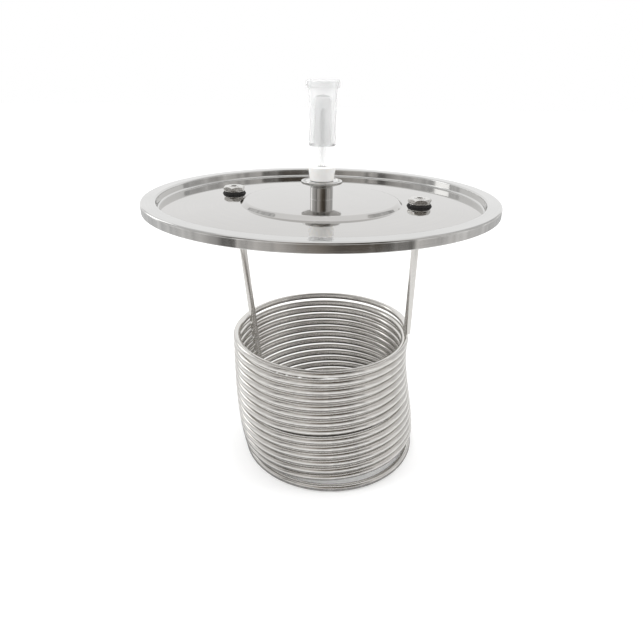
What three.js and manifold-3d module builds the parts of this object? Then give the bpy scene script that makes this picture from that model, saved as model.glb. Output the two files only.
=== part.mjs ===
// Fermenter lid with an immersion cooling coil and an airlock.
// Millimetres, +Z up. The origin is on the floor under the lid's centre, where the coil stands.
// -Y is the front of the lid, and the supply leg is on its +X side.
import * as THREE from 'three';
import { mergeVertices } from 'three/addons/utils/BufferGeometryUtils.js';
import Module from 'manifold-3d';

const wasm = await Module();
wasm.setup();

// ---- Driving dimensions ----
const GAP = 0.3;                 // space between pieces that touch
const SHEET = 1.5;               // thickness of the lid's sheet steel

const RIM_TOP = 366;             // height of the lid's rim over the floor
const LID_R = 215;               // outer radius of the lid
const LID_SKIRT = 11;            // height of the outer skirt
const RIM_INNER_R = 197.5;       // inner wall of the rim
const RIM_FILLET = 2.5;
const PAN_DEPTH = 10.5;          // pan surface under the rim's top
const BOSS_RISE = 4.2;           // raised centre of the pan
const BOSS_TOP_R = 96.5;
const BOSS_BASE_R = 100;
const PAN_TOP = RIM_TOP - PAN_DEPTH;
const PAN_UNDER = PAN_TOP - SHEET;
const BOSS_TOP = PAN_TOP + BOSS_RISE;
const GASKET_DEPTH = 7.7;        // silicone seal in the rim's channel

const PORT_R = 13;               // bore of the centre port
const NECK_R = 14.4;
const FLANGE_R = 25.25;
const FLANGE_EDGE = 2.85;
const FLANGE_TOP = RIM_TOP + 15.5;

const STOPPER_TOP = RIM_TOP + 32.4;
const STOPPER_TOP_R = 17;
const STOPPER_SHOULDER_R = 14.4;
const STOPPER_PLUG_R = 12.7;
const STOPPER_PLUG_LENGTH = 18;

const AIRLOCK_FLOOR = RIM_TOP + 56;
const AIRLOCK_TOP = RIM_TOP + 125.3;
const AIRLOCK_BASE_R = 15.9;
const AIRLOCK_TOP_R = 16.65;
const AIRLOCK_WALL = 1.3;
const STEM_BASE = RIM_TOP + 13;
const STEM_TIP_R = 4.2;
const STEM_ROOT_R = 4.9;
const STANDPIPE_R = 3.3;
const STANDPIPE_BORE_R = 2;
const STANDPIPE_HEIGHT = 40;
const FLOAT_R = 11;
const FLOAT_HEIGHT = 54;
const CAP_R = 19.6;
const CAP_TOP = RIM_TOP + 127.2;
const CAP_HEIGHT = 8.5;

const TUBE_R = 4.76;             // 3/8 inch tube
const SUPPLY = { x: 119.5, y: -17, nutTurn: 0 };
const RETURN = { x: -116.5, y: 46, nutTurn: 27 };
const STUB_R = 6.2;
const STUB_BORE_R = 3.8;
const STUB_BASE = PAN_UNDER - 10.7;
const COLLAR_R = 11;

const COIL_STEPS_PER_TURN = 28;
const COIL_PITCH = 11.42;
const COIL_TOP = RIM_TOP - 179.8;
const COIL_CENTRE_Y = -5.5;
const COIL_START_DEG = -5.6;
const COIL_END_TURN = 15.12;
const COIL_MOUTH = 1.1;          // the winding starts this much wider, in line with the supply leg
const COIL_MOUTH_TURN = 0.3;
const JOG_START_TURN = 14.15;    // the coil drops here into its level bottom turn
const JOG_END_TURN = 14.5;
const LOOSE_PLACES = [           // the windings lie further apart here
  { turn: 0.9, drop: 1.2, backSpread: 0.3 },
  { turn: 8.05, drop: 2.2, backSpread: 3 },
  { turn: 12.6, drop: 1.3, backSpread: 3 },
];
const LOOSE_SPREAD = 0.3;        // turns either side over which a winding drops at the front
const SUPPLY_FOOT = RIM_TOP - 184.8;   // blunt lower end of the supply leg

// ---- Materials ----
function material(color, roughness, metalness) {
  return new THREE.MeshStandardMaterial({ color, roughness, metalness });
}
const polishedSteel = () => material(0xd2d2cf, 0.15, 1);
const satinSteel = () => material(0xb9b6b0, 0.35, 1);
const silicone = () => material(0xf1efe8, 0.6, 0);
const blackRubber = () => material(0x1d1d1d, 0.7, 0);
const clearPlastic = () => material(0xf4f7f8, 0.2, 0);

// ---- Helpers ----
const root = new THREE.Group();

function place(name, geometry, surface, x = 0, y = 0, z = 0) {
  const mesh = new THREE.Mesh(geometry, surface);
  mesh.name = name;
  mesh.position.set(x, y, z);
  root.add(mesh);
  return mesh;
}

// A closed outline of [radius, height] points, counter-clockwise, spun about Z.
function turned(outline, segments) {
  const points = outline.map(([r, z]) => new THREE.Vector2(r, z));
  if (outline[0][0] > 0) {
    points.push(points[0].clone());
  }
  const geometry = new THREE.LatheGeometry(points, segments);
  geometry.rotateX(Math.PI / 2);
  return geometry;
}

// Points of a round corner from one angle to another, in degrees.
function corner(r, z, radius, fromDeg, toDeg, steps) {
  const points = [];
  for (let i = 0; i <= steps; i += 1) {
    const angle = THREE.MathUtils.degToRad(fromDeg + (toDeg - fromDeg) * i / steps);
    points.push([r + radius * Math.cos(angle), z + radius * Math.sin(angle)]);
  }
  return points;
}

function solid(geometry) {
  const bare = geometry.clone();
  bare.deleteAttribute('normal');
  bare.deleteAttribute('uv');
  const merged = mergeVertices(bare, 1e-4);
  return new wasm.Manifold(new wasm.Mesh({
    numProp: 3,
    vertProperties: new Float32Array(merged.attributes.position.array),
    triVerts: new Uint32Array(merged.index.array),
  }));
}

function geometryOf(manifold) {
  const mesh = manifold.getMesh();
  const geometry = new THREE.BufferGeometry();
  geometry.setAttribute('position', new THREE.BufferAttribute(mesh.vertProperties, 3));
  geometry.setIndex(new THREE.BufferAttribute(mesh.triVerts, 1));
  geometry.computeVertexNormals();
  return geometry;
}

function drilled(geometry, holes, segments) {
  let body = solid(geometry);
  for (const { x, y, r, z, length } of holes) {
    const drill = new THREE.CylinderGeometry(r, r, length, segments);
    drill.rotateX(Math.PI / 2);
    drill.translate(x, y, z);
    body = body.subtract(solid(drill));
  }
  return geometryOf(body);
}

function ring(innerR, outerR, bottom, top, segments) {
  return turned([[innerR, bottom], [outerR, bottom], [outerR, top], [innerR, top]], segments);
}

// An octagon whose flats touch the round tube.
function tubeSection() {
  const section = new THREE.Shape();
  const reach = TUBE_R / Math.cos(Math.PI / 8);
  for (let i = 0; i < 8; i += 1) {
    const angle = Math.PI / 8 + i * Math.PI / 4;
    const point = [reach * Math.cos(angle), reach * Math.sin(angle)];
    if (i === 0) {
      section.moveTo(...point);
    } else {
      section.lineTo(...point);
    }
  }
  section.closePath();
  return section;
}

// An extrusion path through given stations. The section's flats stay square to the side vector.
class RodPath extends THREE.Curve {
  constructor(stations, firstHeading, lastHeading, sideOf) {
    super();
    this.stations = stations;
    this.firstHeading = firstHeading;
    this.lastHeading = lastHeading;
    this.sideOf = sideOf;
  }

  getSpacedPoints() {
    return this.stations;
  }

  heading(i) {
    if (i === 0) {
      return this.firstHeading.clone();
    }
    if (i === this.stations.length - 1) {
      return this.lastHeading.clone();
    }
    return this.stations[i + 1].clone().sub(this.stations[i - 1]).normalize();
  }

  computeFrenetFrames() {
    const tangents = this.stations.map((station, i) => this.heading(i));
    const normals = tangents.map((tangent) => {
      const side = this.sideOf(tangent);
      return side.addScaledVector(tangent, -side.dot(tangent)).normalize();
    });
    const binormals = tangents.map((tangent, i) => tangent.clone().cross(normals[i]));
    return { tangents, normals, binormals };
  }
}

function bentRod(stations, firstHeading, lastHeading, sideOf) {
  const extrudePath = new RodPath(stations, firstHeading, lastHeading, sideOf);
  const steps = stations.length - 1;
  return new THREE.ExtrudeGeometry(tubeSection(), { steps, extrudePath, curveSegments: 1 });
}

// ---- Lid ----
const channelRoof = RIM_TOP - SHEET;
const rimOutline = [
  [LID_R - SHEET, RIM_TOP - LID_SKIRT],
  [LID_R, RIM_TOP - LID_SKIRT],
  ...corner(LID_R - RIM_FILLET, RIM_TOP - RIM_FILLET, RIM_FILLET, 0, 90, 3),
  ...corner(RIM_INNER_R + RIM_FILLET, RIM_TOP - RIM_FILLET, RIM_FILLET, 90, 180, 3),
  [RIM_INNER_R, PAN_UNDER],
  [RIM_INNER_R + SHEET, PAN_UNDER],
  [RIM_INNER_R + SHEET, channelRoof - 1],
  [RIM_INNER_R + SHEET + 1, channelRoof],
  [LID_R - SHEET - 1, channelRoof],
  [LID_R - SHEET, channelRoof - 1],
];
place('lid_rim', turned(rimOutline, 60), polishedSteel());

const panOutline = [
  [PORT_R, BOSS_TOP - SHEET],
  [BOSS_TOP_R - 1, BOSS_TOP - SHEET],
  [BOSS_BASE_R - 1, PAN_UNDER],
  [RIM_INNER_R - GAP, PAN_UNDER],
  [RIM_INNER_R - GAP, PAN_TOP],
  [BOSS_BASE_R, PAN_TOP],
  [BOSS_TOP_R, BOSS_TOP],
  [PORT_R, BOSS_TOP],
];
const stubHoles = [SUPPLY, RETURN].map(({ x, y }) => (
  { x, y, r: STUB_R + GAP, z: PAN_UNDER, length: 10 }
));
place('lid_pan', drilled(turned(panOutline, 60), stubHoles, 16), polishedSteel());

const gasketTop = channelRoof - GAP;
const gasketInnerR = RIM_INNER_R + SHEET + GAP;
const gasketOuterR = LID_R - SHEET - GAP;
const gasketOutline = [
  [gasketInnerR, gasketTop - GASKET_DEPTH],
  [gasketOuterR, gasketTop - GASKET_DEPTH],
  [gasketOuterR, gasketTop - 1.2],
  [gasketOuterR - 1.2, gasketTop],
  [gasketInnerR + 1.2, gasketTop],
  [gasketInnerR, gasketTop - 1.2],
];
place('rim_gasket', turned(gasketOutline, 60), silicone());

// ---- Centre port and stopper ----
const grooveR = 21.8;
const flangeUnderside = FLANGE_TOP - FLANGE_EDGE;
const neckTop = flangeUnderside - (FLANGE_R - NECK_R - 1.5) * Math.tan(Math.PI / 9);
const ferruleOutline = [
  [PORT_R, BOSS_TOP + GAP],
  [NECK_R, BOSS_TOP + GAP],
  [NECK_R, neckTop - 1.5],
  [NECK_R + 1.5, neckTop],
  [FLANGE_R, flangeUnderside],
  [FLANGE_R, FLANGE_TOP],
  ...corner(grooveR, FLANGE_TOP, 1.6, 0, -180, 3),
  [PORT_R, FLANGE_TOP],
];
place('port_ferrule', turned(ferruleOutline, 32), polishedSteel());

const shoulder = FLANGE_TOP + GAP;
const plugBottom = shoulder - STOPPER_PLUG_LENGTH;
const stopperOutline = [
  [STEM_TIP_R + GAP, plugBottom],
  [STOPPER_PLUG_R - 1, plugBottom],
  [STOPPER_PLUG_R, shoulder],
  [STOPPER_SHOULDER_R, shoulder],
  [STOPPER_TOP_R, STOPPER_TOP - 1],
  [STOPPER_TOP_R - 1, STOPPER_TOP],
  [STEM_ROOT_R + GAP, STOPPER_TOP],
  [STEM_TIP_R + GAP, STEM_BASE],
];
place('stopper', turned(stopperOutline, 24), silicone());

// ---- Airlock ----
const airlockOutline = [
  [STANDPIPE_BORE_R, STEM_BASE],
  [STEM_TIP_R, STEM_BASE],
  [STEM_ROOT_R, AIRLOCK_FLOOR],
  [AIRLOCK_BASE_R - 1, AIRLOCK_FLOOR],
  [AIRLOCK_BASE_R, AIRLOCK_FLOOR + 1],
  [AIRLOCK_TOP_R, AIRLOCK_TOP - 4],
  [AIRLOCK_TOP_R + 1, AIRLOCK_TOP - 3],
  [AIRLOCK_TOP_R + 1, AIRLOCK_TOP],
  [AIRLOCK_TOP_R - AIRLOCK_WALL, AIRLOCK_TOP],
  [AIRLOCK_BASE_R - AIRLOCK_WALL, AIRLOCK_FLOOR + 1.8],
  [STANDPIPE_R, AIRLOCK_FLOOR + 1.8],
  [STANDPIPE_R - 0.4, AIRLOCK_FLOOR + STANDPIPE_HEIGHT],
  [STANDPIPE_BORE_R, AIRLOCK_FLOOR + STANDPIPE_HEIGHT],
];
place('airlock_body', turned(airlockOutline, 24), clearPlastic());

const floatBase = AIRLOCK_FLOOR + 1.8 + GAP;
const floatTop = floatBase + FLOAT_HEIGHT;
const floatOutline = [
  [FLOAT_R - 1.2, floatBase],
  [FLOAT_R, floatBase],
  [FLOAT_R - 0.4, floatTop - 5],
  [FLOAT_R - 3.5, floatTop - 1.4],
  [0, floatTop],
  [0, floatTop - 1.2],
  [FLOAT_R - 4, floatTop - 2.8],
  [FLOAT_R - 1.7, floatTop - 5.6],
];
// The inner wall closes back on the first point, so the float is open underneath.
function openCup(outline, segments) {
  const first = outline.findIndex(([r]) => r === 0);
  const outer = outline.slice(0, first + 1);
  const inner = outline.slice(first + 1);
  const points = [...inner, ...outer].map(([r, z]) => new THREE.Vector2(r, z));
  const geometry = new THREE.LatheGeometry(points, segments);
  geometry.rotateX(Math.PI / 2);
  return geometry;
}
place('airlock_float', openCup(floatOutline, 20), clearPlastic());

const capCeiling = AIRLOCK_TOP + GAP;
const capOutline = [
  [CAP_R - 1.5, CAP_TOP - CAP_HEIGHT],
  [CAP_R, CAP_TOP - CAP_HEIGHT],
  [CAP_R, CAP_TOP - 0.8],
  [CAP_R - 0.8, CAP_TOP],
  [0, CAP_TOP],
  [0, capCeiling],
  [CAP_R - 1.5, capCeiling],
];
const ventHoles = [45, 135, 225, 315].map((deg) => {
  const angle = THREE.MathUtils.degToRad(deg);
  return { x: 6 * Math.cos(angle), y: 6 * Math.sin(angle), r: 1, z: CAP_TOP, length: 8 };
});
place('airlock_cap', drilled(openCup(capOutline, 24), ventHoles, 8), clearPlastic());

// ---- Bulkhead fittings ----
const upperSealBase = PAN_TOP + GAP;
const upperSealTop = upperSealBase + 2.6;
const washerBase = upperSealTop + GAP;
const washerTop = washerBase + 1.2;
const nutBase = washerTop + GAP;
const nutTop = nutBase + 4.8;
const collarBase = PAN_UNDER - 6;
const collarTop = PAN_UNDER - 2;
const NUT_FLAT_R = 12.5;

function hexNut(turnDeg) {
  const section = new THREE.Shape();
  const reach = NUT_FLAT_R / Math.cos(Math.PI / 6);
  for (let i = 0; i < 6; i += 1) {
    const angle = i * Math.PI / 3 + THREE.MathUtils.degToRad(turnDeg);
    const point = [reach * Math.cos(angle), reach * Math.sin(angle)];
    if (i === 0) {
      section.moveTo(...point);
    } else {
      section.lineTo(...point);
    }
  }
  section.closePath();
  const block = new THREE.ExtrudeGeometry(section, { depth: nutTop - nutBase, bevelEnabled: false });
  block.translate(0, 0, nutBase);
  const chamfer = turned([
    [STUB_R + GAP, nutBase - 1],
    [reach + 1, nutBase - 1],
    [reach + 1, nutTop - 1.6],
    [NUT_FLAT_R - 0.2, nutTop],
    [STUB_R + GAP, nutTop],
  ], 24);
  return geometryOf(solid(block).intersect(solid(chamfer)));
}

const stubOutline = [
  [STUB_BORE_R, STUB_BASE],
  [STUB_R + 1, STUB_BASE],
  [STUB_R + 1, collarBase],
  [COLLAR_R, collarBase],
  [COLLAR_R, collarTop],
  [STUB_R, collarTop],
  [STUB_R, nutTop + 0.2],
  [STUB_R - 0.4, nutTop + 0.6],
  [STUB_BORE_R, nutTop + 0.6],
];

function fitting(prefix, { x, y, nutTurn }) {
  const upperSeal = [
    [STUB_R + GAP, upperSealBase],
    [15.4, upperSealBase],
    [13.6, upperSealTop],
    [STUB_R + GAP, upperSealTop],
  ];
  const lowerSeal = ring(STUB_R + GAP, COLLAR_R - 1, collarTop + GAP, PAN_UNDER - GAP, 16);
  place(`${prefix}_stub`, turned(stubOutline, 16), satinSteel(), x, y);
  place(`${prefix}_lower_seal`, lowerSeal, silicone(), x, y);
  place(`${prefix}_upper_seal`, turned(upperSeal, 20), blackRubber(), x, y);
  place(`${prefix}_washer`, ring(STUB_R + GAP, 13.2, washerBase, washerTop, 20), satinSteel(), x, y);
  place(`${prefix}_nut`, hexNut(nutTurn), satinSteel(), x, y);
}
fitting('supply', SUPPLY);
fitting('return', RETURN);

// ---- Coil and its two legs ----
// The winding swells, tilts and drifts towards +X on its way down, as hand-wound coils do.
function coilRadius(turn) {
  const down = turn / COIL_END_TURN;
  const mouth = 1 - THREE.MathUtils.smoothstep(turn, 0, COIL_MOUTH_TURN);
  return 116.4 - 13 * down + 57.5 * down ** 2 - 42 * down ** 3 + COIL_MOUTH * mouth;
}

function coilCentreX(turn) {
  const down = turn / COIL_END_TURN;
  return 2.5 - 14.5 * down + 45.5 * down ** 2 - 17.4 * down ** 3;
}

function coilAngle(turn) {
  return THREE.MathUtils.degToRad(COIL_START_DEG + 360 * turn);
}

function coilHeight(turn) {
  const { smoothstep, lerp } = THREE.MathUtils;
  const frontness = (1 - Math.sin(coilAngle(turn))) / 2;
  const tilt = 1.1 + 8.4 * turn / COIL_END_TURN;
  let height = COIL_TOP - COIL_PITCH * turn + tilt * Math.cos(coilAngle(turn));
  for (const { turn: at, drop, backSpread } of LOOSE_PLACES) {
    const front = smoothstep(turn, at - LOOSE_SPREAD, at + LOOSE_SPREAD);
    const back = smoothstep(turn, at - backSpread, at + backSpread);
    height -= drop * lerp(back, front, frontness);
  }
  return lerp(height, TUBE_R, smoothstep(turn, JOG_START_TURN, JOG_END_TURN));
}

function coilPoint(turn) {
  return new THREE.Vector3(
    coilCentreX(turn) + coilRadius(turn) * Math.cos(coilAngle(turn)),
    COIL_CENTRE_Y + coilRadius(turn) * Math.sin(coilAngle(turn)),
    coilHeight(turn),
  );
}

function coilHeading(turn) {
  return coilPoint(turn + 0.001).sub(coilPoint(turn)).normalize();
}

// The first winding butts against the back of the supply leg.
const coilStartTurn = (TUBE_R + GAP) / (2 * Math.PI * coilRadius(0));
const coilStart = coilPoint(coilStartTurn);
const startHeading = coilHeading(coilStartTurn);

// At the bottom the tube leaves the circle and curves inwards to the foot of the return leg.
const hookStart = coilPoint(COIL_END_TURN);
const hookEnd = new THREE.Vector3(-78, 28, TUBE_R);
const hookEndHeading = new THREE.Vector3(0.03, -1, 0).normalize();
const hookStartHeading = coilHeading(COIL_END_TURN).setZ(0).normalize();
const hook = new THREE.CubicBezierCurve3(
  hookStart,
  hookStart.clone().addScaledVector(hookStartHeading, 60),
  hookEnd.clone().addScaledVector(hookEndHeading, -60),
  hookEnd,
);

const up = new THREE.Vector3(0, 0, 1);
const coilStations = [];
const coilSteps = Math.round((COIL_END_TURN - coilStartTurn) * COIL_STEPS_PER_TURN);
for (let i = 0; i < coilSteps; i += 1) {
  coilStations.push(coilPoint(coilStartTurn + (COIL_END_TURN - coilStartTurn) * i / coilSteps));
}
coilStations.push(...hook.getSpacedPoints(12));
const levelSide = (tangent) => tangent.clone().cross(up);
place('coil', bentRod(coilStations, startHeading, hookEndHeading, levelSide), satinSteel());

// A bend between two straight runs; its control points reach the same share along both headings.
function bend(start, startHeadingOut, end, endHeading, reach, steps) {
  const curve = new THREE.CubicBezierCurve3(
    start,
    start.clone().addScaledVector(startHeadingOut, reach),
    end.clone().addScaledVector(endHeading, -reach),
    end,
  );
  return curve.getPoints(steps);
}

const supplyStations = [
  new THREE.Vector3(SUPPLY.x, SUPPLY.y, SUPPLY_FOOT),
  new THREE.Vector3(SUPPLY.x, SUPPLY.y, STUB_BASE - GAP),
];
const supplySide = () => up.clone().cross(startHeading);
place('supply_leg', bentRod(supplyStations, up, up, supplySide), satinSteel());

// The return leg leans outwards on its way up and straightens under its fitting.
const legLow = new THREE.Vector3(-79.5, 3, RIM_TOP - 338);
const legHigh = new THREE.Vector3(-105.5, 28, RIM_TOP - 88);
const legTop = new THREE.Vector3(RETURN.x, RETURN.y, STUB_BASE - GAP);
const legHeading = legHigh.clone().sub(legLow).normalize();
const returnStart = hookEnd.clone().addScaledVector(hookEndHeading, GAP);
const returnStations = [
  ...bend(returnStart, hookEndHeading, legLow, legHeading, 14, 7),
  ...bend(legHigh, legHeading, legTop, up, 25, 10),
];
const returnSide = () => new THREE.Vector3(1, 0, 0);
place('return_leg', bentRod(returnStations, hookEndHeading, up, returnSide), satinSteel());

export default root;
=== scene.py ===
"""Looks of a fermenter lid with an immersion cooling coil and an airlock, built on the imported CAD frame."""

import math

import bmesh
import bpy
from mathutils import Matrix, Vector


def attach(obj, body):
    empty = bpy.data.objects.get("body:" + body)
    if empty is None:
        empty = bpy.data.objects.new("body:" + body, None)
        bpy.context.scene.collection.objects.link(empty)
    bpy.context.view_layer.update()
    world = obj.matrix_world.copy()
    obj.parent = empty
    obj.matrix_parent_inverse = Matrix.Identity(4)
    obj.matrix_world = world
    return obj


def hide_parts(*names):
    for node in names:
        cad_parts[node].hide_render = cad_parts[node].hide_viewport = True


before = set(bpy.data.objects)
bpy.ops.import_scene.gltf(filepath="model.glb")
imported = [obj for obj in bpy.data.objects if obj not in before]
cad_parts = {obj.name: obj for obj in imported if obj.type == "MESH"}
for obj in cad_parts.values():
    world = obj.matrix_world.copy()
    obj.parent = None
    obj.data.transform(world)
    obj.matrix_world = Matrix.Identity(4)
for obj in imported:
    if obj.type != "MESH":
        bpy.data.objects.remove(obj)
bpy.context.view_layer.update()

MM = 0.001
LID_SEGMENTS = 288
FLAT_HOLD = 0.25                 # how far from a rounding the flat beside it is pinned, in mm
MOST_OF_HALF = 0.49              # a rounding takes less than half of the edge it sits on

# ---- Sizes in millimetres, the same as the CAD part's ----
RIM_TOP = 366.0
LID_R = 215.0
LID_SKIRT = 11.0
RIM_INNER_R = 197.5
SHEET = 1.5
PAN_TOP = RIM_TOP - 10.5
PAN_UNDER = PAN_TOP - SHEET
BOSS_TOP = PAN_TOP + 4.2
BOSS_TOP_R = 96.5
BOSS_BASE_R = 100.0
PORT_R = 13.0
NECK_R = 14.4
FLANGE_R = 25.25
FLANGE_TOP = RIM_TOP + 15.5
STOPPER_TOP = RIM_TOP + 32.4
AIRLOCK_FLOOR = RIM_TOP + 56.0
AIRLOCK_TOP = RIM_TOP + 125.3
STEM_BASE = RIM_TOP + 13.0
CAP_TOP = RIM_TOP + 127.2
SUPPLY = (119.5, -17.0)
RETURN = (-116.5, 46.0)
STUB_BASE = PAN_UNDER - 10.7
TUBE_R = 4.76
TUBE_BORE_R = 4.06               # the real tube's bore; the CAD tube is a solid rod
SUPPLY_FOOT = RIM_TOP - 184.8

COIL_TOP = RIM_TOP - 179.8
COIL_PITCH = 11.42
COIL_CENTRE_Y = -5.5
COIL_START_DEG = -5.6
COIL_END_TURN = 15.12
COIL_MOUTH = 1.1
COIL_MOUTH_TURN = 0.3
JOG_START_TURN = 14.15
JOG_END_TURN = 14.5
LOOSE_SPREAD = 0.3
LOOSE_PLACES = [(0.9, 1.2, 0.3), (8.05, 2.2, 3.0), (12.6, 1.3, 3.0)]


# ---------------------------------------------------------------- mesh helpers
def mark_sharp(bm, sharp_deg=35.0):
    limit = math.radians(sharp_deg)
    for face in bm.faces:
        face.smooth = True
    for edge in bm.edges:
        edge.smooth = len(edge.link_faces) == 2 and edge.calc_face_angle(0.0) < limit


def new_object(name, bm, material, at=(0.0, 0.0), sharp_deg=35.0):
    """A piece from bm, whose points are in millimetres round the vertical axis through at."""
    mark_sharp(bm, sharp_deg)
    bmesh.ops.scale(bm, vec=(MM, MM, MM), verts=bm.verts)
    mesh = bpy.data.meshes.new(name)
    bm.to_mesh(mesh)
    bm.free()
    mesh.materials.append(material)
    obj = bpy.data.objects.new(name, mesh)
    bpy.context.scene.collection.objects.link(obj)
    obj.location = (at[0] * MM, at[1] * MM, 0.0)
    return obj


def place(obj, body, slot, *nodes):
    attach(obj, body)
    if nodes:
        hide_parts(*nodes)
    return obj


def fillet(corners, steps=5):
    """Points of an outline given as (r, z) or (r, z, radius) corners, with each corner rounded.

    An extra point sits just off each end of a rounding, which keeps the flat beside it shaded flat.
    """
    out = []
    count = len(corners)
    for i, corner in enumerate(corners):
        here = Vector(corner[:2])
        radius = corner[2] if len(corner) > 2 else 0.0
        if radius <= 0:
            out.append(here)
            continue
        before = Vector(corners[i - 1][:2]) - here
        after = Vector(corners[(i + 1) % count][:2]) - here
        a, b = before.normalized(), after.normalized()
        half = math.acos(max(-1.0, min(1.0, a.dot(b)))) / 2
        if half > math.radians(88):
            out.append(here)
            continue
        reach = min(radius / math.tan(half), before.length * MOST_OF_HALF, after.length * MOST_OF_HALF)
        radius = reach * math.tan(half)
        centre = here + (a + b).normalized() * (radius / math.sin(half))
        start = here + a * reach - centre
        sweep = start.angle_signed(here + b * reach - centre)
        hold = reach + FLAT_HOLD
        if hold < before.length * MOST_OF_HALF:
            out.append(here + a * hold)
        for k in range(steps + 1):
            turn = -sweep * k / steps
            out.append(centre + Matrix.Rotation(turn, 2) @ start)
        if hold < after.length * MOST_OF_HALF:
            out.append(here + b * hold)
    return out


def lathe(outline, segments=128, ripple=None):
    """A closed outline turned about the vertical axis. ripple(r, z, angle) returns a change of radius."""
    bm = bmesh.new()
    rings = []
    for point in outline:
        r, z = point
        if r < 1e-6:
            rings.append([bm.verts.new((0, 0, z))])
            continue
        ring = []
        for k in range(segments):
            angle = 2 * math.pi * k / segments
            rr = r + (ripple(r, z, angle) if ripple else 0.0)
            ring.append(bm.verts.new((rr * math.cos(angle), rr * math.sin(angle), z)))
        rings.append(ring)
    count = len(rings)
    for i in range(count):
        low, high = rings[i], rings[(i + 1) % count]
        if len(low) == 1 and len(high) == 1:
            continue
        for k in range(segments):
            n = (k + 1) % segments
            if len(low) == 1:
                bm.faces.new((low[0], high[n], high[k]))
            elif len(high) == 1:
                bm.faces.new((low[k], low[n], high[0]))
            else:
                bm.faces.new((low[k], low[n], high[n], high[k]))
    bmesh.ops.recalc_face_normals(bm, faces=bm.faces)
    return bm


def sweep(stations, headings, side_of, around=24, bore_depth=0, radii=()):
    """A round tube through stations, with its length and turn round the tube in its UV map."""
    bm = bmesh.new()
    uv = bm.loops.layers.uv.new("tube")
    lengths = [0.0]
    for a, b in zip(stations, stations[1:]):
        lengths.append(lengths[-1] + (b - a).length)

    def ring(i, r):
        t = headings[i]
        side = side_of(t)
        n = (side - t * side.dot(t)).normalized()
        b = t.cross(n)
        verts = []
        for k in range(around):
            angle = 2 * math.pi * (k + 0.5) / around
            point = stations[i] + n * (r * math.cos(angle)) + b * (r * math.sin(angle))
            verts.append(bm.verts.new(point))
        return verts

    def skin(low, high, u0, u1):
        for k in range(around):
            n = (k + 1) % around
            face = bm.faces.new((low[k], low[n], high[n], high[k]))
            v0, v1 = k / around, (k + 1) / around
            for loop, place_uv in zip(face.loops, ((u0, v0), (u0, v1), (u1, v1), (u1, v0))):
                loop[uv].uv = place_uv

    rings = [ring(i, radii[i] if i < len(radii) else TUBE_R) for i in range(len(stations))]
    for i in range(len(rings) - 1):
        skin(rings[i], rings[i + 1], lengths[i] * MM, lengths[i + 1] * MM)
    if bore_depth:
        inner = [ring(len(stations) - 1 - k, TUBE_BORE_R) for k in range(bore_depth)]
        skin(rings[-1], inner[0], 0.0, 0.001)
        for a, b in zip(inner, inner[1:]):
            skin(a, b, 0.0, 0.001)
        bm.faces.new(inner[-1])
    else:
        bm.faces.new(rings[-1])
    bm.faces.new(reversed(rings[0]))
    bmesh.ops.recalc_face_normals(bm, faces=bm.faces)
    return bm


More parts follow.
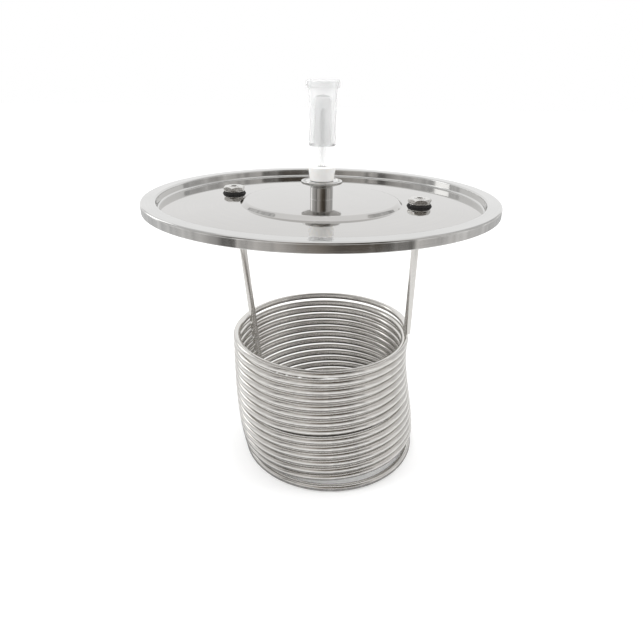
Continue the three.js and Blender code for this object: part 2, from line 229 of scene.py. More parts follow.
# ---------------------------------------------------------------- materials
class Nodes:
    """A small helper that adds nodes and links to one material."""

    def __init__(self, name):
        self.material = bpy.data.materials.new(name)
        self.material.use_nodes = True
        self.tree = self.material.node_tree
        self.shader = self.tree.nodes["Principled BSDF"]

    def set(self, socket, value):
        if isinstance(value, bpy.types.NodeSocket):
            self.tree.links.new(value, socket)
        else:
            socket.default_value = value

    def math(self, operation, a, b=0.0):
        node = self.tree.nodes.new("ShaderNodeMath")
        node.operation = operation
        self.set(node.inputs[0], a)
        self.set(node.inputs[1], b)
        return node.outputs[0]

    def ramp(self, factor, stops):
        node = self.tree.nodes.new("ShaderNodeValToRGB")
        elements = node.color_ramp.elements
        while len(elements) < len(stops):
            elements.new(0.5)
        for element, (position, colour) in zip(elements, stops):
            element.position = position
            element.color = (*colour, 1.0) if len(colour) == 3 else colour
        self.set(node.inputs[0], factor)
        return node.outputs[0]

    def remap(self, factor, low, high, start=0.0, end=1.0):
        node = self.tree.nodes.new("ShaderNodeMapRange")
        self.set(node.inputs["Value"], factor)
        node.inputs["From Min"].default_value = start
        node.inputs["From Max"].default_value = end
        node.inputs["To Min"].default_value = low
        node.inputs["To Max"].default_value = high
        return node.outputs["Result"]

    def noise(self, vector, scale, detail=3.0, roughness=0.55):
        node = self.tree.nodes.new("ShaderNodeTexNoise")
        self.set(node.inputs["Vector"], vector)
        node.inputs["Scale"].default_value = scale
        node.inputs["Detail"].default_value = detail
        node.inputs["Roughness"].default_value = roughness
        return node.outputs["Fac"]

    def object_coords(self):
        return self.tree.nodes.new("ShaderNodeTexCoord").outputs["Object"]

    def combine(self, x, y, z):
        node = self.tree.nodes.new("ShaderNodeCombineXYZ")
        for socket, value in zip(node.inputs, (x, y, z)):
            self.set(socket, value)
        return node.outputs[0]

    def separate(self, vector):
        node = self.tree.nodes.new("ShaderNodeSeparateXYZ")
        self.set(node.inputs[0], vector)
        return node.outputs

    def turned(self, around, across):
        """Coordinates that run slowly round the vertical axis and quickly across it."""
        x, y, z = self.separate(self.object_coords())
        r = self.math("SQRT", self.math("ADD", self.math("MULTIPLY", x, x), self.math("MULTIPLY", y, y)))
        safe = self.math("MAXIMUM", r, 1e-4)
        along = self.math("MULTIPLY", self.math("ADD", r, self.math("MULTIPLY", z, 1.37)), across)
        return self.combine(
            self.math("MULTIPLY", self.math("DIVIDE", x, safe), around),
            self.math("MULTIPLY", self.math("DIVIDE", y, safe), around),
            along,
        )

    def drawn(self, along, around):
        """Coordinates that run slowly along a tube and quickly round it."""
        u, v, _ = self.separate(self.tree.nodes.new("ShaderNodeTexCoord").outputs["UV"])
        turn = self.math("MULTIPLY", v, 2 * math.pi)
        return self.combine(
            self.math("MULTIPLY", self.math("COSINE", turn), around),
            self.math("MULTIPLY", self.math("SINE", turn), around),
            self.math("MULTIPLY", u, along),
        )

    def bump(self, height, strength, distance):
        node = self.tree.nodes.new("ShaderNodeBump")
        node.inputs["Strength"].default_value = strength
        node.inputs["Distance"].default_value = distance
        self.set(node.inputs["Height"], height)
        return node.outputs["Normal"]


def steel(name, dark, light, rough, grain, bump=0.0, smudge_scale=14.0):
    """Stainless steel. grain(nodes) gives the coordinates of its polishing lines.

    rough is (smooth, dull), the roughness where the surface is cleanest and where it is smudged.
    """
    n = Nodes(name)
    coords = n.object_coords()
    smudge = n.noise(coords, smudge_scale, 4.0, 0.6)
    lines = n.noise(grain(n), 1.0, 2.0, 0.7)
    tone = n.math("ADD", n.math("MULTIPLY", smudge, 0.55), n.math("MULTIPLY", lines, 0.45))
    n.set(n.shader.inputs["Base Color"], n.ramp(tone, [(0.3, dark), (0.7, light)]))
    n.shader.inputs["Metallic"].default_value = 1.0
    n.set(n.shader.inputs["Roughness"], n.remap(tone, rough[0], rough[1], 0.3, 0.7))
    if bump:
        n.set(n.shader.inputs["Normal"], n.bump(lines, bump, 0.0002))
    return n.material


def rubber(name, dark, light, rough, scale=180.0, bump=0.25, subsurface=0.0):
    n = Nodes(name)
    coords = n.object_coords()
    fine = n.noise(coords, scale * 6, 3.0, 0.6)
    cloud = n.noise(coords, scale * 0.4, 3.0, 0.5)
    n.set(n.shader.inputs["Base Color"], n.ramp(cloud, [(0.35, dark), (0.65, light)]))
    n.set(n.shader.inputs["Roughness"], n.remap(cloud, rough[0], rough[1], 0.3, 0.7))
    n.set(n.shader.inputs["Normal"], n.bump(fine, bump, 0.0002))
    if subsurface:
        n.shader.inputs["Subsurface Weight"].default_value = subsurface
        n.shader.inputs["Subsurface Radius"].default_value = (1.0, 0.9, 0.8)
        n.shader.inputs["Subsurface Scale"].default_value = 0.004
    return n.material


def clear(name, tint, rough):
    """Clear moulded plastic with faint flow lines."""
    n = Nodes(name)
    flow = n.noise(n.turned(3.0, 900.0), 1.0, 2.0, 0.6)
    haze = n.noise(n.object_coords(), 60.0, 3.0, 0.6)
    n.set(n.shader.inputs["Base Color"], n.ramp(haze, [(0.3, tint), (0.7, (1.0, 1.0, 1.0))]))
    n.set(n.shader.inputs["Roughness"], n.remap(haze, rough[0], rough[1], 0.3, 0.7))
    n.set(n.shader.inputs["Normal"], n.bump(flow, 0.06, 0.0002))
    n.shader.inputs["Transmission Weight"].default_value = 0.83
    n.shader.inputs["IOR"].default_value = 1.17
    return n.material


mirror_pan = steel(
    "mirror_pan", (0.545, 0.537, 0.522), (0.60, 0.588, 0.575), (0.03, 0.07),
    lambda n: n.turned(2.0, 700.0), bump=0.01, smudge_scale=9.0,
)
polished_rim = steel(
    "polished_rim", (0.60, 0.60, 0.59), (0.70, 0.695, 0.685), (0.06, 0.14),
    lambda n: n.turned(4.0, 1500.0), bump=0.04,
)
polished_port = steel(
    "polished_port", (0.60, 0.60, 0.59), (0.70, 0.695, 0.685), (0.04, 0.10),
    lambda n: n.turned(3.0, 2500.0), bump=0.03, smudge_scale=60.0,
)
drawn_tube = steel(
    "drawn_tube", (0.70, 0.685, 0.66), (0.77, 0.755, 0.73), (0.12, 0.20),
    lambda n: n.drawn(5.0, 9.0), bump=0.02, smudge_scale=16.0,
)
machined = steel(
    "machined_steel", (0.66, 0.65, 0.63), (0.78, 0.77, 0.75), (0.20, 0.32),
    lambda n: n.turned(2.0, 4200.0), bump=0.10, smudge_scale=120.0,
)
silicone = rubber(
    "white_silicone", (0.92, 0.91, 0.885), (0.97, 0.965, 0.95), (0.42, 0.58),
    bump=0.12, subsurface=0.25,
)
seal_rubber = rubber("black_rubber", (0.006, 0.006, 0.006), (0.013, 0.012, 0.012), (0.55, 0.75))
clear_plastic = clear("clear_plastic", (0.992, 0.995, 0.995), (0.03, 0.07))


# ---------------------------------------------------------------- lid
rim_outline = fillet([
    (LID_R - SHEET, RIM_TOP - LID_SKIRT, 0.5),
    (LID_R, RIM_TOP - LID_SKIRT, 0.7),
    (LID_R, RIM_TOP, 2.5),
    (RIM_INNER_R, RIM_TOP, 2.5),
    (RIM_INNER_R, PAN_UNDER, 0.3),
    (RIM_INNER_R + SHEET, PAN_UNDER, 0.3),
    (RIM_INNER_R + SHEET, RIM_TOP - SHEET, 1.0),
    (LID_R - SHEET, RIM_TOP - SHEET, 1.0),
], steps=6)
place(new_object("rim_shell", lathe(rim_outline, LID_SEGMENTS), polished_rim),
      "lid", "polished_steel", "lid_rim")

weld_outline = [
    (RIM_INNER_R + 0.1, PAN_TOP - 0.4),
    (RIM_INNER_R + 0.1, PAN_TOP + 2.2),
    (RIM_INNER_R - 0.25, PAN_TOP + 1.3),
    (RIM_INNER_R - 0.8, PAN_TOP + 0.6),
    (RIM_INNER_R - 1.6, PAN_TOP + 0.15),
    (RIM_INNER_R - 2.4, PAN_TOP - 0.02),
    (RIM_INNER_R - 2.4, PAN_TOP - 0.4),
]
place(new_object("rim_weld", lathe([Vector(p) for p in weld_outline], LID_SEGMENTS), polished_rim),
      "lid", "polished_steel")

pan_outline = fillet([
    (PORT_R, BOSS_TOP - SHEET),
    (BOSS_TOP_R - 1.8, BOSS_TOP - SHEET, 3.0),
    (BOSS_BASE_R - 0.2, PAN_UNDER, 3.0),
    (RIM_INNER_R - 0.3, PAN_UNDER, 0.3),
    (RIM_INNER_R - 0.3, PAN_TOP, 0.3),
    (BOSS_BASE_R + 0.3, PAN_TOP, 1.6),
    (BOSS_TOP_R - 1.0, BOSS_TOP, 6.0),
    (PORT_R, BOSS_TOP, 0.4),
], steps=10)
pan = new_object("pan_sheet", lathe(pan_outline, LID_SEGMENTS), mirror_pan)
hole_r, drill_depth = 6.5, 12
for x, y in (SUPPLY, RETURN):
    drill = bmesh.new()
    bmesh.ops.create_cone(
        drill, cap_ends=True, segments=48, radius1=hole_r, radius2=hole_r, depth=drill_depth
    )
    bmesh.ops.translate(drill, vec=(x, y, PAN_UNDER), verts=drill.verts)
    cutter = new_object("hole_cutter", drill, mirror_pan)
    cut = pan.modifiers.new("hole", "BOOLEAN")
    cut.operation = "DIFFERENCE"
    cut.solver = "EXACT"
    cut.object = cutter
    depsgraph = bpy.context.evaluated_depsgraph_get()
    bored = bpy.data.meshes.new_from_object(pan.evaluated_get(depsgraph))
    pan.modifiers.clear()
    pan.data = bored
    resharpened = bmesh.new()
    resharpened.from_mesh(bored)
    mark_sharp(resharpened)
    resharpened.to_mesh(bored)
    resharpened.free()
    bpy.data.objects.remove(cutter)
place(pan, "lid", "polished_steel", "lid_pan")

seal_top = RIM_TOP - SHEET - 0.3
seal_in, seal_out = RIM_INNER_R + SHEET + 0.3, LID_R - SHEET - 0.3
seal_lip = seal_top - 7.7
seal_groove = seal_top - 6.3
seal_outline = fillet([
    (seal_in, seal_lip, 0.8),
    (seal_in + 3.2, seal_lip, 0.5),
    (seal_in + 4.2, seal_groove, 0.6),
    (seal_out - 4.2, seal_groove, 0.6),
    (seal_out - 3.2, seal_lip, 0.5),
    (seal_out, seal_lip, 0.8),
    (seal_out, seal_top, 1.2),
    (seal_in, seal_top, 1.2),
], steps=4)
place(new_object("rim_seal", lathe(seal_outline, 240), silicone), "lid", "white_silicone", "rim_gasket")

# ---------------------------------------------------------------- centre port
flange_under = FLANGE_TOP - 2.85
neck_top = flange_under - (FLANGE_R - NECK_R) * math.tan(math.radians(20))
port_outline = fillet([
    (PORT_R, BOSS_TOP - 0.6),
    (NECK_R + 0.5, BOSS_TOP - 0.6),
    (NECK_R, BOSS_TOP + 0.4, 0.3),
    (NECK_R, neck_top, 1.6),
    (FLANGE_R, flange_under, 0.5),
    (FLANGE_R, FLANGE_TOP, 0.6),
    (23.4, FLANGE_TOP, 0.3),
    (22.7, FLANGE_TOP - 1.4, 0.8),
    (20.9, FLANGE_TOP - 1.4, 0.8),
    (20.2, FLANGE_TOP, 0.3),
    (PORT_R, FLANGE_TOP, 0.6),
], steps=5)
place(new_object("port_neck", lathe(port_outline, 128), polished_port),
      "lid", "polished_steel", "port_ferrule")

shoulder = FLANGE_TOP + 0.3
plug_foot = shoulder - 18.0
stopper_outline = fillet([
    (4.5, plug_foot, 0.4),
    (11.7, plug_foot, 1.0),
    (12.7, shoulder - 0.1, 0.3),
    (14.4, shoulder - 0.1, 0.7),
    (17.0, STOPPER_TOP, 1.0),
    (5.2, STOPPER_TOP, 0.6),
    (4.5, STEM_BASE, 0.0),
], steps=5)
place(new_object("stopper_body", lathe(stopper_outline, 96), silicone),
      "stopper", "white_silicone", "stopper")

# ---------------------------------------------------------------- airlock
cup_in, lip_r = 15.35, 17.65
airlock_outline = fillet([
    (2.0, STEM_BASE, 0.2),
    (4.2, STEM_BASE, 0.4),
    (4.9, AIRLOCK_FLOOR, 0.8),
    (15.9, AIRLOCK_FLOOR, 1.4),
    (16.65, AIRLOCK_TOP - 4.0, 0.4),
    (lip_r, AIRLOCK_TOP - 3.0, 0.4),
    (lip_r, AIRLOCK_TOP, 0.5),
    (cup_in, AIRLOCK_TOP, 0.4),
    (14.6, AIRLOCK_FLOOR + 1.8, 1.2),
    (3.3, AIRLOCK_FLOOR + 1.8, 0.8),
    (2.9, AIRLOCK_FLOOR + 40.0, 0.4),
    (2.0, AIRLOCK_FLOOR + 40.0, 0.3),
], steps=4)
place(new_object("airlock_cup", lathe(airlock_outline, 96), clear_plastic),
      "airlock", "clear_plastic", "airlock_body")

bell_base = AIRLOCK_FLOOR + 2.1
bell_top = bell_base + 54.0
bell_outline = fillet([
    (9.8, bell_base, 0.3),
    (11.0, bell_base, 0.4),
    (10.6, bell_top - 5.0, 2.0),
    (7.5, bell_top - 1.4, 3.0),
    (0.0, bell_top),
    (0.0, bell_top - 1.2),
    (7.0, bell_top - 2.8, 2.0),
    (9.3, bell_top - 5.6, 2.0),
], steps=4)
place(new_object("airlock_bell", lathe(bell_outline, 80), clear_plastic),
      "float", "clear_plastic", "airlock_float")


RIB_COUNT = 48
RIB_DEPTH = 0.22
CAP_SEGMENTS = 6 * RIB_COUNT
CAP_R = 19.6
CAP_INNER_R = 18.1


def grip_ribs(r, z, angle):
    """Fine moulded ribs on the cap's skirt."""
    if r < CAP_R - 0.4 or z > CAP_TOP - 1.4:
        return 0.0
    return -RIB_DEPTH + RIB_DEPTH * math.cos(RIB_COUNT * angle)


cap_outline = fillet([
    (CAP_INNER_R, CAP_TOP - 8.5, 0.4),
    (CAP_R, CAP_TOP - 8.5, 0.4),
    (CAP_R, CAP_TOP, 0.9),
    (0.0, CAP_TOP),
    (0.0, CAP_TOP - 1.6),
    (CAP_INNER_R, CAP_TOP - 1.6, 0.5),
], steps=4)
place(new_object("airlock_lid", lathe(cap_outline, CAP_SEGMENTS, grip_ribs), clear_plastic),
      "cap", "clear_plastic", "airlock_cap")


# ---------------------------------------------------------------- bulkhead fittings
seal_low = PAN_TOP - 0.05
washer_low = PAN_TOP + 3.05
washer_high = PAN_TOP + 4.45
nut_low = PAN_TOP + 4.5
nut_high = PAN_TOP + 9.5
collar_low = PAN_UNDER - 6.0
collar_high = PAN_UNDER - 2.0


def hex_nut(turn_deg):
    """A hexagon nut with a turned chamfer on top and a countersunk bore."""
    bm = bmesh.new()
    flat_r, bore_r, face_r = 12.5, 6.4, 12.1
    side_steps = 10
    step_deg = 60 // side_steps
    angles = []
    for corner in range(6):
        for k in range(side_steps):
            angles.append(math.radians(60 * corner + step_deg * k + turn_deg))
    rings = []

    def ring(radius_of, z_of):
        verts = []
        for i, angle in enumerate(angles):
            offset = math.radians((i % side_steps) * step_deg - 30)
            hex_r = flat_r / math.cos(offset)
            r = radius_of(hex_r)
            verts.append(bm.verts.new((r * math.cos(angle), r * math.sin(angle), z_of(hex_r))))
        rings.append(verts)

    ring(lambda h: bore_r, lambda h: nut_low)
    ring(lambda h: face_r, lambda h: nut_low)
    ring(lambda h: h, lambda h: nut_low + 0.3 + (h - flat_r) * 0.3)
    ring(lambda h: h, lambda h: nut_high - 0.25 - (h - flat_r) * 0.8)
    ring(lambda h: face_r, lambda h: nut_high)
    ring(lambda h: bore_r + 0.7, lambda h: nut_high)
    ring(lambda h: bore_r, lambda h: nut_high - 0.7)
    for i, low in enumerate(rings):
        high = rings[(i + 1) % len(rings)]
        for k in range(len(low)):
            n = (k + 1) % len(low)
            bm.faces.new((low[k], low[n], high[n], high[k]))
    bmesh.ops.recalc_face_normals(bm, faces=bm.faces)
    return bm


def fitting(prefix, at, turn_deg):
    stub = fillet([
        (3.8, STUB_BASE, 0.3),
        (7.2, STUB_BASE, 0.5),
        (7.2, collar_low, 0.6),
        (11.0, collar_low, 0.6),
        (11.0, collar_high, 0.5),
        (6.2, collar_high, 0.3),
        (6.2, nut_high + 0.6, 0.5),
        (3.8, nut_high + 0.6, 0.5),
    ], steps=4)
    place(new_object(f"{prefix}_bulkhead", lathe(stub, 72), machined, at),
          "lid", "fitting_steel", f"{prefix}_stub")

    lower = fillet([
        (6.5, PAN_UNDER - 1.8, 0.4), (10.0, PAN_UNDER - 1.8, 0.6),
        (10.0, PAN_UNDER, 0.6), (6.5, PAN_UNDER, 0.4),
    ], steps=4)
    place(new_object(f"{prefix}_under_seal", lathe(lower, 72), silicone, at),
          "lid", "white_silicone", f"{prefix}_lower_seal")

    upper = fillet([
        (6.5, seal_low, 0.3), (15.4, seal_low, 0.25),
        (13.6, washer_low, 0.6), (6.5, washer_low, 0.3),
    ], steps=5)
    place(new_object(f"{prefix}_rubber_washer", lathe(upper, 96), seal_rubber, at),
          "lid", "black_rubber", f"{prefix}_upper_seal")

    washer = fillet([
        (6.5, washer_low, 0.2), (13.2, washer_low, 0.4),
        (13.2, washer_high, 0.4), (6.5, washer_high, 0.2),
    ], steps=4)
    place(new_object(f"{prefix}_steel_washer", lathe(washer, 96), machined, at),
          "lid", "fitting_steel", f"{prefix}_washer")

    nut = new_object(f"{prefix}_hex_nut", hex_nut(turn_deg), machined, at, sharp_deg=20.0)
    bevel = nut.modifiers.new("edges", "BEVEL")
    bevel.width = 0.00018
    bevel.segments = 2
    bevel.limit_method = "ANGLE"
    bevel.angle_limit = math.radians(25)
    place(nut, f"{prefix}_nut", "fitting_steel", f"{prefix}_nut")


fitting("supply", SUPPLY, 0.0)
fitting("return", RETURN, 27.0)


# ---------------------------------------------------------------- coil and legs
def smoothstep(value, low, high):
    s = max(0.0, min(1.0, (value - low) / (high - low)))
    return s * s * (3 - 2 * s)


def coil_radius(turn):
    down = turn / COIL_END_TURN
    mouth = 1 - smoothstep(turn, 0, COIL_MOUTH_TURN)
    return 116.4 - 13 * down + 57.5 * down ** 2 - 42 * down ** 3 + COIL_MOUTH * mouth


def coil_centre_x(turn):
    down = turn / COIL_END_TURN
    return 2.5 - 14.5 * down + 45.5 * down ** 2 - 17.4 * down ** 3


def coil_angle(turn):
    return math.radians(COIL_START_DEG + 360 * turn)


def coil_height(turn):
    frontness = (1 - math.sin(coil_angle(turn))) / 2
    tilt = 1.1 + 8.4 * turn / COIL_END_TURN
    height = COIL_TOP - COIL_PITCH * turn + tilt * math.cos(coil_angle(turn))
    for at, drop, back_spread in LOOSE_PLACES:
        front = smoothstep(turn, at - LOOSE_SPREAD, at + LOOSE_SPREAD)
        back = smoothstep(turn, at - back_spread, at + back_spread)
        height -= drop * (back + (front - back) * frontness)
    jog = smoothstep(turn, JOG_START_TURN, JOG_END_TURN)
    return height + (TUBE_R - height) * jog


def coil_point(turn):
    return Vector((
        coil_centre_x(turn) + coil_radius(turn) * math.cos(coil_angle(turn)),
        COIL_CENTRE_Y + coil_radius(turn) * math.sin(coil_angle(turn)),
        coil_height(turn),
    ))


def coil_heading(turn):
    return (coil_point(turn + 0.001) - coil_point(turn)).normalized()


def bend(start, out, end, into, reach, steps):
    """Points of a smooth bend that leaves start along out and reaches end along into."""
    if not isinstance(reach, tuple):
        reach = (reach, reach)
    a, b = start + out * reach[0], end - into * reach[1]
    points = []
    for k in range(steps + 1):
        s = k / steps
        points.append(
            start * (1 - s) ** 3 + a * (3 * s * (1 - s) ** 2) + b * (3 * s * s * (1 - s)) + end * s ** 3
        )
    return points


def headings_of(stations, first, last):
    found = [first]
    for before, after in zip(stations, stations[2:]):
        found.append((after - before).normalized())
    found.append(last)
    return found


UP = Vector((0, 0, 1))
DOWN = Vector((0, 0, -1))
coil_start_turn = (TUBE_R + 0.3) / (2 * math.pi * coil_radius(0))
coil_start = coil_point(coil_start_turn)
start_heading = coil_heading(coil_start_turn)
hook_start = coil_point(COIL_END_TURN)
hook_heading = coil_heading(COIL_END_TURN)
hook_heading.z = 0
hook_heading.normalize()
hook_end = Vector((-78, 28, TUBE_R))
hook_end_heading = Vector((0.03, -1, 0)).normalized()

coil_steps = 1440
coil_stations = [
    coil_point(coil_start_turn + (COIL_END_TURN - coil_start_turn) * i / coil_steps)
    for i in range(coil_steps)
]
coil_stations += bend(hook_start, hook_heading, hook_end, hook_end_heading, 60, 40)
coil_mesh = sweep(
    coil_stations, headings_of(coil_stations, start_heading, hook_end_heading), lambda t: t.cross(UP)
)
place(new_object("coil_tube", coil_mesh, drawn_tube), "lid", "coil_steel", "coil")


def straight(a, b, spacing=12.0):
    count = max(1, round((b - a).length / spacing))
    return [a.lerp(b, k / count) for k in range(count)]


supply_stations = [Vector((*SUPPLY, SUPPLY_FOOT + lift)) for lift in (0.0, 0.12, 0.45, 1.0, 3.0)]
supply_stations += straight(supply_stations[-1], Vector((*SUPPLY, STUB_BASE)))[1:]
supply_stations.append(Vector((*SUPPLY, STUB_BASE)))
supply_radii = [TUBE_R - inset for inset in (1.0, 0.5, 0.15, 0.0)]
supply_mesh = sweep(
    supply_stations, [UP] * len(supply_stations), lambda t: UP.cross(start_heading),
    bore_depth=3, radii=supply_radii,
)
place(new_object("supply_tube", supply_mesh, drawn_tube), "lid", "coil_steel", "supply_leg")

leg_low = Vector((-79.5, 3, RIM_TOP - 338))
leg_high = Vector((-105.5, 28, RIM_TOP - 88))
leg_top = Vector((*RETURN, STUB_BASE))
leg_heading = (leg_high - leg_low).normalized()
return_stations = bend(hook_end, hook_end_heading, leg_low, leg_heading, 14, 20)
return_stations += straight(leg_low, leg_high)[1:]
return_stations += bend(leg_high, leg_heading, leg_top, UP, 25, 20)
return_mesh = sweep(
    return_stations, headings_of(return_stations, hook_end_heading, UP),
    lambda t: Vector((1, 0, 0)), bore_depth=3,
)
place(new_object("return_tube", return_mesh, drawn_tube), "lid", "coil_steel", "return_leg")


# ---------------------------------------------------------------- stage
def stage_plane(name, size, centre, facing, shader):
    bm = bmesh.new()
    w, h = size[0] / 2, size[1] / 2
    corners = [bm.verts.new(p) for p in ((-w, -h, 0), (w, -h, 0), (w, h, 0), (-w, h, 0))]
    bm.faces.new(corners)
    mesh = bpy.data.meshes.new(name)
    bm.to_mesh(mesh)
    bm.free()
    mesh.materials.append(shader)
    obj = bpy.data.objects.new(name, mesh)
    bpy.context.scene.collection.objects.link(obj)
    obj.location = centre
    obj.rotation_mode = "QUATERNION"
    obj.rotation_quaternion = Vector(facing).to_track_quat("Z", "Y")
    return obj


def floor_material():
    """A pale matt floor with painted shade in a disc under the coil, standing in for the shadow inside the
    coil, and see-through from underneath.
    """
    # The disc is painted shade: a dark colour and no glow where the inside of the coil would be in shadow.
    shade_disc_inner_r, shade_disc_outer_r = 0.085, 0.108
    dark, pale = (0.10, 0.09, 0.08), (0.94, 0.94, 0.94)
    n = Nodes("studio_floor")
    x, y, _ = n.separate(n.object_coords())
    radius = n.math("SQRT", n.math("ADD", n.math("MULTIPLY", x, x), n.math("MULTIPLY", y, y)))
    cloud = n.noise(n.object_coords(), 2.0, 2.0, 0.5)
    open_floor = n.remap(radius, 0.0, 1.0, shade_disc_inner_r, shade_disc_outer_r)
    shade = n.math("ADD", open_floor, n.remap(cloud, -0.02, 0.02, 0.3, 0.7))
    n.set(n.shader.inputs["Base Color"], n.ramp(shade, [(0.0, dark), (1.0, pale)]))
    n.shader.inputs["Roughness"].default_value = 0.9
    n.shader.inputs["Specular IOR Level"].default_value = 0.1
    n.shader.inputs["Emission Color"].default_value = (1.0, 1.0, 1.0, 1.0)
    # The faint glow fades out over the painted shade disc, so the painted shadow stays dark.
    n.set(n.shader.inputs["Emission Strength"], n.remap(open_floor, 0.0, 0.12))
    seen_from_below = n.tree.nodes.new("ShaderNodeNewGeometry").outputs["Backfacing"]
    through = n.tree.nodes.new("ShaderNodeBsdfTransparent")
    either = n.tree.nodes.new("ShaderNodeMixShader")
    n.set(either.inputs[0], seen_from_below)
    n.set(either.inputs[1], n.shader.outputs[0])
    n.set(either.inputs[2], through.outputs[0])
    n.set(n.tree.nodes["Material Output"].inputs["Surface"], either.outputs[0])
    return n.material


def glow(name, colour, strength):
    material = bpy.data.materials.new(name)
    material.use_nodes = True
    nodes = material.node_tree.nodes
    nodes.clear()
    emission = nodes.new("ShaderNodeEmission")
    emission.inputs["Color"].default_value = (*colour, 1.0)
    emission.inputs["Strength"].default_value = strength
    output = nodes.new("ShaderNodeOutputMaterial")
    material.node_tree.links.new(emission.outputs[0], output.inputs["Surface"])
    return material


stage_plane("floor", (24, 24), (0, 0, -0.0004), (0, 0, 1), floor_material())


def unseen(obj):
    """Hides obj from the camera, shadows and soft light, so that it shows only in reflections."""
    obj.visible_camera = False
    obj.visible_shadow = False
    obj.visible_diffuse = False
    obj.visible_transmission = False
    return obj


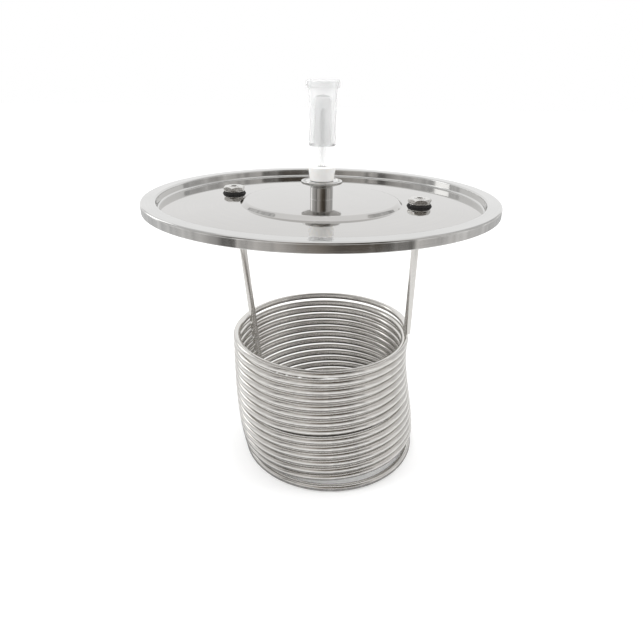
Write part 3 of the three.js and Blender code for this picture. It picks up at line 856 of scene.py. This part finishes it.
def studio_room():
    """A bowl round the object that shows only in reflections: grey bands by direction, finely streaked."""
    n = Nodes("room")
    x, y, z = n.separate(n.object_coords())
    azimuth = n.math("DIVIDE", n.math("ARCTAN2", x, n.math("MULTIPLY", y, -1.0)), math.pi)
    around = n.remap(azimuth, 0.0, 1.0, -1.0, 1.0)
    upright = n.combine(n.math("MULTIPLY", azimuth, 38.0), 0.0, n.math("MULTIPLY", z, 0.6))
    streak = n.noise(upright, 1.0, 4.0, 0.65)
    shifted = n.math("ADD", around, n.remap(streak, -0.028, 0.028, 0.3, 0.7))

    def at(degrees):
        return (degrees + 180) / 360

    def grey(value, warm=0.0):
        return (value * (1 + warm), value, value * (1 - warm))

    tone = n.ramp(shifted, [
        (at(-176), grey(0.92)),
        (at(-160), grey(0.78)),
        (at(-146), grey(0.58)),
        (at(-110), grey(0.66)),
        (at(-68), grey(0.58, 0.02)),
        (at(-58), grey(0.34, 0.03)),
        (at(-50), grey(0.08, 0.04)),
        (at(-46), grey(0.14, 0.04)),
        (at(-41), grey(0.52, 0.03)),
        (at(-22), grey(0.50, 0.05)),
        (at(-11), grey(0.24, 0.08)),
        (at(-2), grey(0.17, 0.16)),
        (at(10), grey(0.07, 0.18)),
        (at(26), grey(0.08, 0.22)),
        (at(38), grey(0.12, 0.05)),
        (at(48), grey(0.24, 0.04)),
        (at(56), grey(0.62, 0.03)),
        (at(66), grey(0.46, 0.02)),
        (at(76), grey(0.68, 0.02)),
        (at(134), grey(0.54)),
        (at(148), grey(0.56)),
        (at(160), grey(0.72)),
        (at(176), grey(0.66)),
    ])
    radius = n.math("SQRT", n.math("ADD", n.math("MULTIPLY", x, x), n.math("MULTIPLY", y, y)))
    outward = n.math("DIVIDE", n.math("ADD", radius, z), 4.0)
    pale = n.ramp(outward, [(0.040, grey(0.30)), (0.048, grey(0.95)), (0.5, grey(0.86, 0.01))])
    dusk = n.ramp(outward, [
        (0.28, grey(0.0)), (0.32, grey(1.0)), (0.40, grey(1.0)), (0.43, grey(0.35)), (0.50, grey(0.35)),
        (0.54, grey(1.0)),
    ])
    mix = n.tree.nodes.new("ShaderNodeMix")
    mix.data_type = "RGBA"
    n.set(mix.inputs[0], dusk)
    n.set(mix.inputs[6], pale)
    n.set(mix.inputs[7], tone)
    output = n.tree.nodes["Material Output"]
    emission = n.tree.nodes.new("ShaderNodeEmission")
    n.set(emission.inputs["Color"], mix.outputs[2])
    n.set(emission.inputs["Strength"], n.remap(streak, 0.70, 1.35, 0.35, 0.65))
    n.tree.links.new(emission.outputs[0], output.inputs["Surface"])
    n.tree.nodes.remove(n.shader)

    bm = bmesh.new()
    profile = [
        (0.10, 0.001), (0.6, 0.001), (1.2, 0.001), (1.5, 0.08), (1.52, 0.25), (1.55, 1.2), (1.45, 2.3),
    ]
    columns = 120
    whole_bands = 4
    wall_columns = range(15, 105)
    rows = []
    for r, height in profile:
        row = []
        for k in range(columns):
            angle = math.radians(-180 + 360 // columns * k)
            row.append(bm.verts.new((r * math.sin(angle), -r * math.cos(angle), height)))
        rows.append(row)
    for i, (low, high) in enumerate(zip(rows, rows[1:])):
        for k in range(columns):
            if i < whole_bands or k in wall_columns:
                beside = (k + 1) % columns
                bm.faces.new((low[k], low[beside], high[beside], high[k]))
    mesh = bpy.data.meshes.new("room")
    bm.to_mesh(mesh)
    bm.free()
    mesh.materials.append(n.material)
    obj = bpy.data.objects.new("room", mesh)
    bpy.context.scene.collection.objects.link(obj)
    return unseen(obj)


studio_room()
window_glow = glow("window", (1, 1, 1), 1.8)
unseen(stage_plane("window", (0.36, 0.7), (-1.1, 0.5, 0.75), (1.1, -0.5, -0.3), window_glow))

world = bpy.data.worlds.new("studio")
world.use_nodes = True
world.node_tree.nodes["Background"].inputs["Color"].default_value = (1.0, 1.0, 1.0, 1.0)
world.node_tree.nodes["Background"].inputs["Strength"].default_value = 1.0
bpy.context.scene.world = world


def softbox(name, centre, target, size, energy):
    light = bpy.data.lights.new(name, "AREA")
    light.shape = "RECTANGLE"
    light.size, light.size_y = size
    light.energy = energy
    obj = bpy.data.objects.new(name, light)
    bpy.context.scene.collection.objects.link(obj)
    obj.location = centre
    obj.rotation_mode = "QUATERNION"
    obj.rotation_quaternion = (Vector(centre) - Vector(target)).to_track_quat("Z", "Y")
    obj.visible_camera = False
    obj.visible_glossy = False
    return obj


softbox("top_softbox", (0.0, 0.4, 2.4), (0, 0, 0.2), (2.4, 2.0), 22.0)
softbox("left_softbox", (-1.7, -0.6, 1.1), (0, 0, 0.3), (0.7, 1.6), 14.0)
softbox("right_softbox", (1.8, -0.3, 1.0), (0, 0, 0.3), (0.6, 1.6), 9.0)

# ---------------------------------------------------------------- camera
camera_data = bpy.data.cameras.new("camera")
camera_data.sensor_width = 36.0
camera_data.lens = 27.99
camera_tilt = math.radians(64.694)
camera_roll = 0.0151
camera_at = (0.0023, -0.6306, (RIM_TOP + 121.5) * MM)
camera = bpy.data.objects.new("camera", camera_data)
bpy.context.scene.collection.objects.link(camera)
pitch = Matrix.Rotation(camera_tilt, 4, "X")
roll = Matrix.Rotation(camera_roll, 4, "Z")
camera.matrix_world = Matrix.Translation(camera_at) @ pitch @ roll
bpy.context.scene.camera = camera
bpy.context.scene.view_settings.view_transform = "Standard"

bpy.context.view_layer.update()
